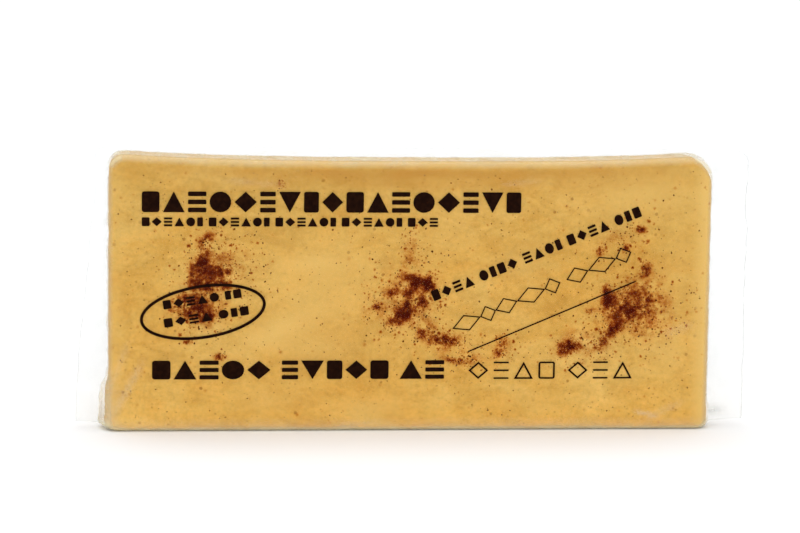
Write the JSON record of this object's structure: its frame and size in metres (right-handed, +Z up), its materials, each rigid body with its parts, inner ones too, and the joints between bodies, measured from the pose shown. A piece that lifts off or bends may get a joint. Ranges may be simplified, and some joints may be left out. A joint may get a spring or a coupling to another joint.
{
  "type": "vacuum packed nougat block",
  "caption": "Flat rectangular block of soft almond nougat, vacuum sealed in a clear film bag with flat margins, standing on its long edge.",
  "frame": {"origin": "middle of the base, halfway along, through the depth, and at the surface that the block stands on", "axes": "+X along the block's length, towards the wide seal margin; -Y out of the printed face; +Z up"},
  "size_m": [0.208, 0.017, 0.0868],
  "materials": {
    "packed_nougat": "cream-tan ground almond nougat behind tight glossy clear film",
    "clear_film": "thin clear polyamide and polyethylene film, glossy, wrinkled at the seals",
    "nougat": "pressed ground almond and honey, slightly oily, finely speckled",
    "cinnamon": "ground cinnamon, moistened dark by the almond oil",
    "print_ink": "opaque near-black ink printed on the film"
  },
  "bodies": {
    "root": {"vacuum_bag": "packed_nougat"}
  },
  "joints": []
}
